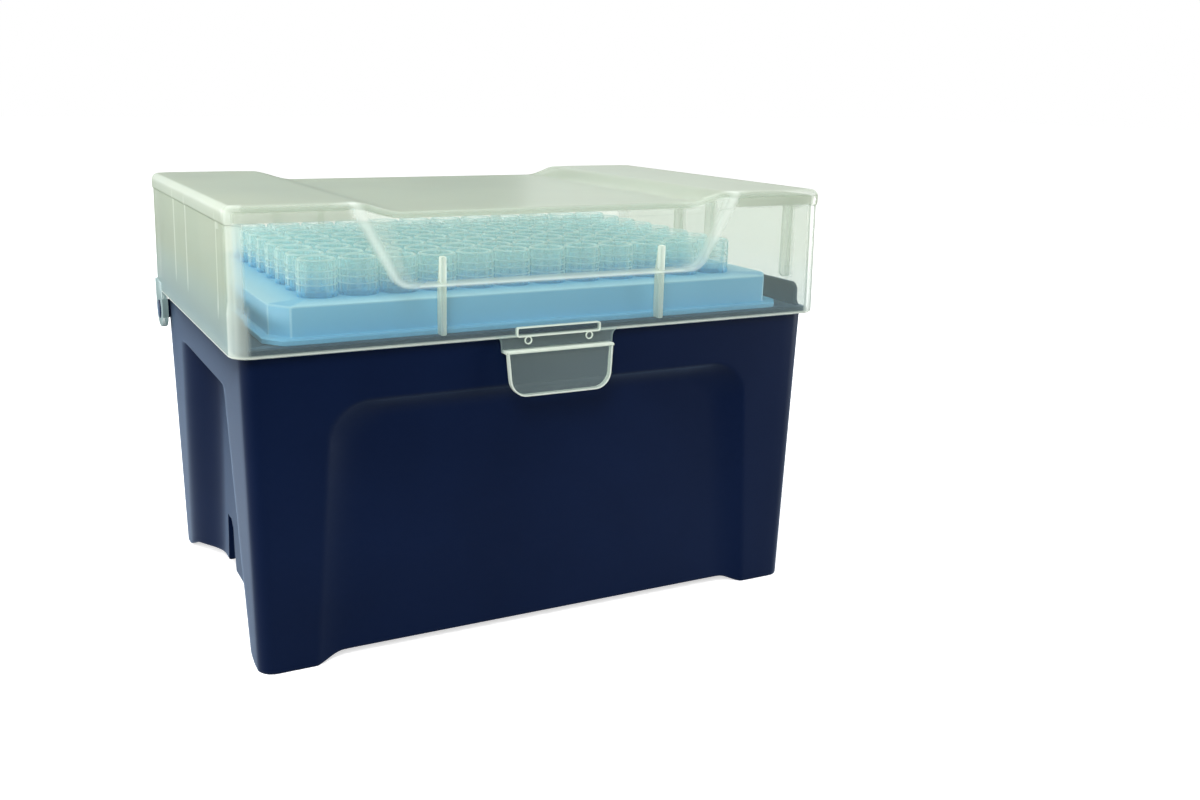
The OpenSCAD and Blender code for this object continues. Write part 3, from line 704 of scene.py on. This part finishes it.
def tip_depth_and_glow(x, y, z):
    """Flutes, rings, the rim and the graduations hold more plastic than the walls, so they hide more and get
    a painted glow. The collar's foot, below zero, is as deep but gets no painted glow."""
    h = tip_top - z
    out = math.hypot((x / pitch) % 1 - 0.5, (y / pitch) % 1 - 0.5) * pitch
    if 0.5 < h < 6.8 and out > 4.3:
        return 0.32 if any(abs(h - ring) < 0.12 for ring in collar_rings) else 0.17
    if h < 0.3:
        return 0.26
    if 6.8 < h < 8.15:
        return -0.15
    return 0.5 if any(abs(h - g) < 0.4 for g in graduations) else 0.0


def cloudy_plastic(name, low, high, painted_glow, tint, foot, spot, wall_depth, thick_depth, rough, spread):
    """See-through polypropylene. It hides what is behind it by its depth over the slant at which it is seen:
    wall_depth for a plain wall, and thick_depth more at a place whose value for depth and painted glow is 1.
    Above zero that value also gives a painted glow, for the light that thicker plastic gathers: the tones
    low and high turn towards the glow colour. Below zero places are as deep but keep their tone. tint is
    what each surface lets straight through, foot the colour of painted bluish light from the blue parts
    below on the lowest places, with the heights between which it fades, spot the scale of the clouds, and
    spread the share that glows with the light behind it."""
    material, tree, out = new_finish(name)
    shader = add_node(tree, "BsdfPrincipled", Roughness=rough, IOR=1.45)
    place = add_node(tree, "TexCoord")
    cloud, shade = drifting_tone(tree, place, spot, 3, (0.3, low), (0.7, high))
    grain_relief(tree, place, shader, spot * 14, 0.04, 0.0001)

    def step(kind, a, b=None):
        made = add_node(tree, "Math", kind)
        for socket, value in zip(made.inputs, (a, b)):
            if isinstance(value, (int, float)):
                socket.default_value = value
            elif value is not None:
                tree.links.new(value, socket)
        return made.outputs[0]

    depth_and_glow = depth_and_glow_value(tree)
    slant = add_node(tree, "LayerWeight", Blend=0.5)
    square_on = step("MAXIMUM", step("SUBTRACT", 1.0, slant.outputs["Facing"]), 0.06)
    plain = step("ADD", step("MULTIPLY", cloud.outputs["Fac"], 0.4 * wall_depth), 0.8 * wall_depth)
    depth = step("ADD", step("MULTIPLY", step("ABSOLUTE", depth_and_glow), thick_depth), plain)
    passed = step("EXPONENT", step("MULTIPLY", step("DIVIDE", depth, step("POWER", square_on, 1.5)), -1.0))
    hidden = step("SUBTRACT", 1.0, passed)
    # The share of painted glow: full once the value reaches a third.
    painted_glow_share = step("MINIMUM", step("MULTIPLY", depth_and_glow, 3.0), 1.0)

    # Painted bluish light from the blue parts below, full at the lowest places and fading out upwards.
    bluish_light_colour, foot_low, foot_high = foot
    axes = add_node(tree, "SeparateXYZ")
    height = add_node(tree, "MapRange", From_Min=foot_low * mm, From_Max=foot_high * mm)
    painted_bluish_light = add_node(tree, "Mix", "RGBA", A=(*bluish_light_colour, 1))
    glow = add_node(tree, "Mix", "RGBA", B=(*painted_glow, 1))
    through = add_node(tree, "BsdfTranslucent")
    body = add_node(tree, "MixShader", Fac=spread)
    open_wall = add_node(tree, "BsdfTransparent", Color=(*tint, 1))
    wall = add_node(tree, "MixShader")
    join(tree, (place.outputs["Object"], axes.inputs["Vector"]), (axes.outputs["Z"], height.inputs["Value"]),
         (height.outputs["Result"], painted_bluish_light.inputs["Factor"]), (shade.outputs["Color"], painted_bluish_light.inputs["B"]),
         (painted_bluish_light.outputs["Result"], glow.inputs["A"]), (painted_glow_share, glow.inputs["Factor"]),
         (glow.outputs["Result"], shader.inputs["Base Color"]),
         (glow.outputs["Result"], through.inputs["Color"]),
         (shader.outputs[0], body.inputs[1]), (through.outputs[0], body.inputs[2]),
         (hidden, wall.inputs["Fac"]), (open_wall.outputs[0], wall.inputs[1]),
         (body.outputs[0], wall.inputs[2]), (wall.outputs[0], out.inputs["Surface"]))
    return material


# Painted glow on the rims, flutes, rings and graduations, and painted bluish light from the deck low on the
# collar.
tip_finish = cloudy_plastic("clear_plastic", low=(0.62, 0.90, 0.94), high=(0.72, 0.96, 0.98),
                            painted_glow=(0.86, 1.0, 0.98), tint=(0.97, 0.995, 0.995),
                            foot=((0.10, 0.58, 0.95), 78.6, 82.6), spot=90,
                            wall_depth=0.09, thick_depth=0.9, rough=0.16, spread=0.45)
for column in range(1, tip_columns + 1):
    x = (column - (tip_columns + 1) / 2) * pitch
    column_shapes = [tip_shape(x, (row - (tip_rows - 1) / 2) * pitch) for row in range(tip_rows)]
    tips = moulding(f"tips_{column}", column_shapes, tip_finish, 50, tip_depth_and_glow)
    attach(tips, "box")
    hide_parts(f"tips_column_{column}")

# ---- Lid ----------------------------------------------------------------------------------------
# One moulding of natural, uncoloured polypropylene: cloudy and greenish white, with a painted glow at
# thicker places and cut edges and painted bluish light low down from the blue parts below. A shallow
# channel crosses the top and runs down the front and the back as a tapering recess. Ribs, two hinge ears
# and the catch tab are part of it.

lid_x, lid_y, lid_r, lid_h = 71.1, 47.4, 4.0, 29.7
lid_wall, lid_top, lid_lean = 1.2, 1.4, 0.5
crown_z, crown_out, crown_run = 25.9, 0.25, 0.35    # the slightly wider band of wall under the top
channel_in, channel_half, channel_run = 2.2, 45.4, 10.6
fall_in = 2.0
rib_t, rib_ease = 1.3, 0.3
end_rib_y = (-36.0, -2.0, 13.5)
lid_front = both_ways(steps((0, 29, 2.9), (29, 47, 0.6), (47, 67.1, 4.0)))
rib_columns = [abs(y) + d for y in end_rib_y for d in (-0.95, -0.45, 0.45, 0.95)]
lid_end = both_ways(sorted([0.0, 6.0, 9.5, 18.0, 22.0, 26.0, 30.0, 40.0, 43.4] + rib_columns))
lid_u = [x / lid_front[-1] for x in lid_front]
lid_v = [y / lid_end[-1] for y in lid_end]
lid_corner = 8


def channel_depth(x):
    """How far the middle channel sinks the top at x."""
    return channel_in * ease((channel_half - np.abs(x)) / channel_run)


def fall_share(x, h, inset):
    """0 outside the recess of the front or back wall at height h over the lid's edge, 1 on its floor."""
    outer = inside_outline(x, -h, 36.9 + inset, math.atan(0.6), -12.0 + inset, 4.6 + inset)
    inner = inside_outline(x, -h, 33.2 + inset, math.atan(0.27), -13.3 + inset, 3.2 + inset)
    return between(inner, outer)


def lid_skin(inset):
    """The lid's outside, or its inside when inset is the wall's thickness: rings from the edge up to the
    top's border, and the level of the top."""
    outside = inset == 0
    soft = max(1.5 - inset, 0.35)           # radius of the top's border
    full = lid_h - (0.0 if outside else lid_top)
    bend = 22.0                             # above this the rows follow the top down into the channel
    rings = []

    def level(x):
        return full - channel_depth(x)

    def add_ring(shrink, r, height_under):
        p = ring_points(lid_x - shrink, lid_y - shrink, max(r, 0.3), lid_u, lid_v, lid_corner)
        x, y, side = p[:, 0], p[:, 1].copy(), p[:, 2]
        height = height_under(level(x))
        fall = fall_in * ease(fall_share(x, height, inset))
        y -= np.where(long_sides(side), np.sign(y) * fall, 0)
        rings.append(np.column_stack([x, y, edge_z + height]))

    heights = steps((0.9, 11.4, 2.8), (11.4, 16.4, 0.42), (16.4, 24.4, 0.8), (24.4, 26.5, 0.3),
                    (26.5, 28.2 - inset, 0.85))
    for h in [0.0, 0.25, 0.55] + heights:
        shrink = inset + lid_lean * h / lid_h
        if outside:
            shrink -= crown_out * ease((h - crown_z) / crown_run) - (0.0 if h > 0 else 0.3)
        add_ring(shrink, lid_r - inset,
                 lambda top: np.where(h > bend, bend + (h - bend) * (top - bend) / (full - bend), h))
    for k in range(1, 6):
        a = math.pi / 2 * k / 5
        tuck, rise = soft * (1 - math.cos(a)), soft * math.sin(a)
        add_ring(inset + lid_lean + tuck - (crown_out if outside else 0), lid_r - inset - tuck,
                 lambda top: top - soft + rise)
    return rings, level


def lid_shell():
    """The lid's outside and inside, each closed by the flat of the top and joined along the lower edge."""
    outer, outer_level = lid_skin(0.0)
    inner, inner_level = lid_skin(lid_wall)
    n, nx, ny, arc = len(outer[0]), len(lid_u), len(lid_v), lid_corner - 1
    flat_x, flat_y = lid_x - lid_r - 0.5, lid_y - lid_r - 1.2
    verts, faces = [], []

    def add_skin(rings, level):
        start = len(verts)
        verts.extend(tuple(p) for ring in rings for p in ring)
        for k in range(len(rings) - 1):
            a, b = start + k * n, start + (k + 1) * n
            faces.extend((a + i, a + (i + 1) % n, b + (i + 1) % n, b + i) for i in range(n))
        # The flat of the top is a grid whose border columns and rows meet the last ring.
        grid = len(verts)
        for v in lid_v:
            verts.extend((u * flat_x, v * flat_y, edge_z + float(level(u * flat_x))) for u in lid_u)

        def at(i, j):
            return grid + j * nx + i

        faces.extend((at(i, j), at(i + 1, j), at(i + 1, j + 1), at(i, j + 1))
                     for j in range(ny - 1) for i in range(nx - 1))
        runs, first = [], start + (len(rings) - 1) * n
        for count in (nx, arc, ny, arc) * 2:
            runs.append(list(range(first, first + count)))
            first += count
        front, c1, right_side, c2, back, c3, left_side, c4 = runs
        for run, seam in ((front, [at(i, 0) for i in range(nx)]),
                          (right_side, [at(nx - 1, j) for j in range(ny)]),
                          (back, [at(nx - 1 - i, ny - 1) for i in range(nx)]),
                          (left_side, [at(0, ny - 1 - j) for j in range(ny)])):
            faces.extend((run[k], run[k + 1], seam[k + 1], seam[k]) for k in range(len(run) - 1))
        for hub, run in ((at(nx - 1, 0), [front[-1]] + c1 + [right_side[0]]),
                         (at(nx - 1, ny - 1), [right_side[-1]] + c2 + [back[0]]),
                         (at(0, ny - 1), [back[-1]] + c3 + [left_side[0]]),
                         (at(0, 0), [left_side[-1]] + c4 + [front[0]])):
            faces.extend((a, b, hub) for a, b in zip(run, run[1:]))
        return start

    a, b = add_skin(outer, outer_level), add_skin(inner, inner_level)
    faces += [(a + i, b + i, b + (i + 1) % n, a + (i + 1) % n) for i in range(n)]
    return verts, faces


def lid_ribs():
    """Two ribs inside the front and two inside the back, and three at each end, with their values for depth
    and painted glow.
    """
    shapes = []
    # The front ribs get a full painted glow; the back and end ribs get none, and no extra depth.
    foot, front_depth_and_glow, far_thick = rim_z + 0.05, 0.40, 0.0
    # The front ribs start above the rim and reach full depth over the deck.
    front = [(-46.4, foot), (-43.8, foot), (-43.8, edge_z + 12.2), (-44.3, edge_z + 14.5),
             (-44.9, edge_z + 18.2), (-46.4, edge_z + 18.2)]
    back = [(45.0, edge_z + 11), (46.4, edge_z + 11), (46.4, edge_z + 19), (44.9, edge_z + 19),
            (44.6, edge_z + 12)]
    for x in (-26.6, 26.6):
        for web, depth_and_glow in ((front, front_depth_and_glow), (back, far_thick)):
            rib = turned(outline_slab(web, x - rib_t / 2, x + rib_t / 2), "yzx")
            shapes.append((*eased(rib, rib_ease), depth_and_glow))
    end = [(67.6, 77.9), (68.4, 77.1), (70.3, 77.1), (70.0, edge_z + 28.2), (67.6, edge_z + 28.2)]
    for y in end_rib_y:
        rib = eased(turned(outline_slab(end, y - rib_t / 2, y + rib_t / 2), "xzy"), rib_ease)
        shapes += [(*rib, far_thick), (*flipped(rib, "x"), far_thick)]
    return shapes


def ear_shape():
    """The right end wall's tongue with the hole for the trunnion."""
    r, hole, sides = 4.7, 2.5, 32
    inner_x, outer_x, top_z = 69.75, 71.25, edge_z + 2.5
    turns = [math.radians(a) for a in range(180, 361, 10)]
    outline = [(hinge_y + r * math.cos(a), hinge_z + r * math.sin(a)) for a in turns]
    outline += [(hinge_y + r, top_z), (hinge_y - r, top_z)]
    m = len(outline)
    pts = [Vector(p) for p in outline + circle(hole, sides, hinge_y, hinge_z)]
    made, tris, went = cut_flat(pts, loop_edges(0, m) + loop_edges(m, sides))

    def outside_hole(tri):
        return math.hypot(sum(made[i].x for i in tri) / 3 - hinge_y,
                          sum(made[i].y for i in tri) / 3 - hinge_z) > hole * 0.98

    tris = [tri for tri in tris if outside_hole(tri)]
    q = len(made)
    verts = [(x, p.x, p.y) for x in (inner_x, outer_x) for p in made]
    faces = [tuple(reversed(f)) for f in tris] + [tuple(q + i for i in f) for f in tris]
    for loop in ([went[i] for i in range(m)], [went[m + k] for k in range(sides)]):
        k = len(loop)
        faces += [(loop[i], loop[(i + 1) % k], q + loop[(i + 1) % k], q + loop[i]) for i in range(k)]
    return eased((verts, faces), 0.2, 2, 50)


def closed_border(rings):
    """A skin through rings of as many points each, and from the last back to the first."""
    n = len(rings[0])
    faces = []
    for k in range(len(rings)):
        a, b = k * n, (k + 1) % len(rings) * n
        faces += [(a + i, a + (i + 1) % n, b + (i + 1) % n, b + i) for i in range(n)]
    return [p for ring in rings for p in ring], faces


def frame_of(outer, inner, y0, y1):
    """A flat frame between two outlines in x and z, from y0 to y1."""
    return closed_border([[(x, y, z) for x, z in outline]
                          for outline, y in ((outer, y0), (outer, y1), (inner, y1), (inner, y0))])


def highlight_rim(points, width, y_at):
    """A thin rim along a closed outline in x and z, standing just proud of the wall from y_at(z) inwards,
    laid over an edge to carry a painted highlight.
    """
    n, grow, back = len(points), 0.04, 1.2
    middle = Vector((sum(p[0] for p in points) / n, sum(p[1] for p in points) / n))
    outer, inner = [], []
    for k in range(n):
        a, b, c = (Vector(points[(k + d) % n]) for d in (-1, 0, 1))
        way = ((b - a).normalized() + (c - b).normalized()).normalized()
        side = Vector((way.y, -way.x))
        if side.dot(middle - b) > 0:
            side = -side
        outer.append(b + side * grow)
        inner.append(b - side * width)
    return closed_border([[(p.x, y_at(p.y) + dy, p.y) for p in ring]
                          for ring, dy in ((outer, -grow), (outer, back), (inner, back), (inner, -grow))])


def catch_shapes():
    """The tab: a neck in the lid's own plane, a step outwards, and the finger grip below it with a rim, each
    with its value for depth and painted glow; the step and the rim get a full painted glow."""
    neck_y, tab_y = -47.4, -47.4 - 1.35
    half_neck = [(13.5, -3.3), (13.6, -1.3), (13.8, -0.5), (14.3, 0.0), (15.0, 0.4)]
    neck = [(-x, edge_z + z) for x, z in reversed(half_neck)] + [(x, edge_z + z) for x, z in half_neck]
    neck = eased(turned(outline_slab(neck, neck_y, neck_y + 1.2), "xzy"), 0.18, 2, 60)
    step = outline_slab([(neck_y + 1.15, -3.35), (neck_y + 1.15, -2.7), (neck_y - 0.9, -2.7), (tab_y, -2.9),
                         (tab_y, -3.35)], -13.3, 13.3)
    step = eased(turned(step, "yzx", (0, 0, edge_z)), 0.15)
    grip = [(-12.1, -12.8), (12.1, -12.8), (12.9, -2.9), (-12.9, -2.9)]
    grip = [(x, z + edge_z) for x, z in round_corners(grip, [4.0, 4.0, 0.2, 0.2], 8)]

    def leaning(z):
        return tab_y + (z - edge_z + 2.9) * 0.62 / 9.9

    slab, slab_faces = turned(outline_slab(grip, 0.0, 1.15), "xzy")
    slab = eased(([(x, y + leaning(z), z) for x, y, z in slab], slab_faces), 0.3, 3, 50)
    return [(*neck, 0.03), (*step, 0.35), (*slab, 0.03), (*highlight_rim(grip, 0.32, leaning), 1.2)]


def window_shapes():
    """The catch slot's raised border, and the two ejector-pin marks under it, all with a full painted glow.
    """
    slot_z, mark_z, painted_glow = edge_z + 1.1, edge_z - 0.75, 1.5

    def rounded(w, h, r):
        low, high = slot_z - h, slot_z + h
        return round_corners([(-w, low), (w, low), (w, high), (-w, high)], [r] * 4, 4)

    shapes = [frame_of(rounded(10.25, 1.1, 0.5), rounded(9.98, 0.85, 0.3), -47.62, -46.6)]
    shapes += [frame_of(circle(0.9, 24, x, mark_z), circle(0.66, 24, x, mark_z), -47.55, -47.2)
               for x in (-7.5, 7.5)]
    return [(*shape, painted_glow) for shape in shapes]


def lid_depth_and_glow(x, y, z):
    """Where light passes through more of the lid, which hides more there and gets a painted glow: its edge,
    the recess's border and flanks, the corners, the top's brim, the band under it and the lines where the
    end ribs stand. The front's and back's band, below zero, is as deep but gets no painted glow."""
    h, ax, ay = z - edge_z, abs(x), abs(y)
    if h < 0.4:
        return 0.8
    share = float(fall_share(x, h, 0.0))
    end_wall, long_wall, plain = ax > 69.4, ay > 43.5, share < 0.04
    if long_wall and ax < 69.4 and 26.4 < h < 28.4 and plain:
        return -0.5
    places = [0.0]
    if long_wall and ax < 66:
        border = 0.32 * math.exp(-((share - 0.16) / 0.15)**2) if share > 0 else 0.0
        places.append(0.08 * 4 * share * (1 - share) + border)
    if ax > lid_x - 3.4 and ay > lid_y - 3.4:
        places.append(0.22)
    if h > lid_h - float(channel_depth(x)) - 1.2 and (end_wall or ay > (45.8 if share < 0.5 else 43.8)):
        places.append(0.12)
    if (end_wall or long_wall) and h > 26.4 and plain:
        places.append(0.08)
    if end_wall and 8 < h < 28 and any(abs(y - rib_y) < 0.6 for rib_y in end_rib_y):
        places.append(0.14)
    return max(places)


# Painted glow where the lid is marked, and painted bluish light from the blue parts below on its lower part.
milky = cloudy_plastic("milky_plastic", low=(0.48, 0.54, 0.43), high=(0.53, 0.59, 0.46),
                       painted_glow=(0.86, 0.92, 0.84), tint=(0.97, 0.985, 0.97),
                       foot=((0.42, 0.56, 0.56), 72, 84), spot=22,
                       wall_depth=0.13, thick_depth=1.1, rough=0.28, spread=0.35)
right_ear, ear_thick = ear_shape(), -0.35
ears = [(*right_ear, ear_thick), (*flipped(right_ear, "x"), ear_thick)]
lid = moulding("lid_cover", [lid_shell()] + lid_ribs() + ears + catch_shapes() + window_shapes(), milky,
               depth_and_glow=lid_depth_and_glow)
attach(lid, "cover")
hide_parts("lid")
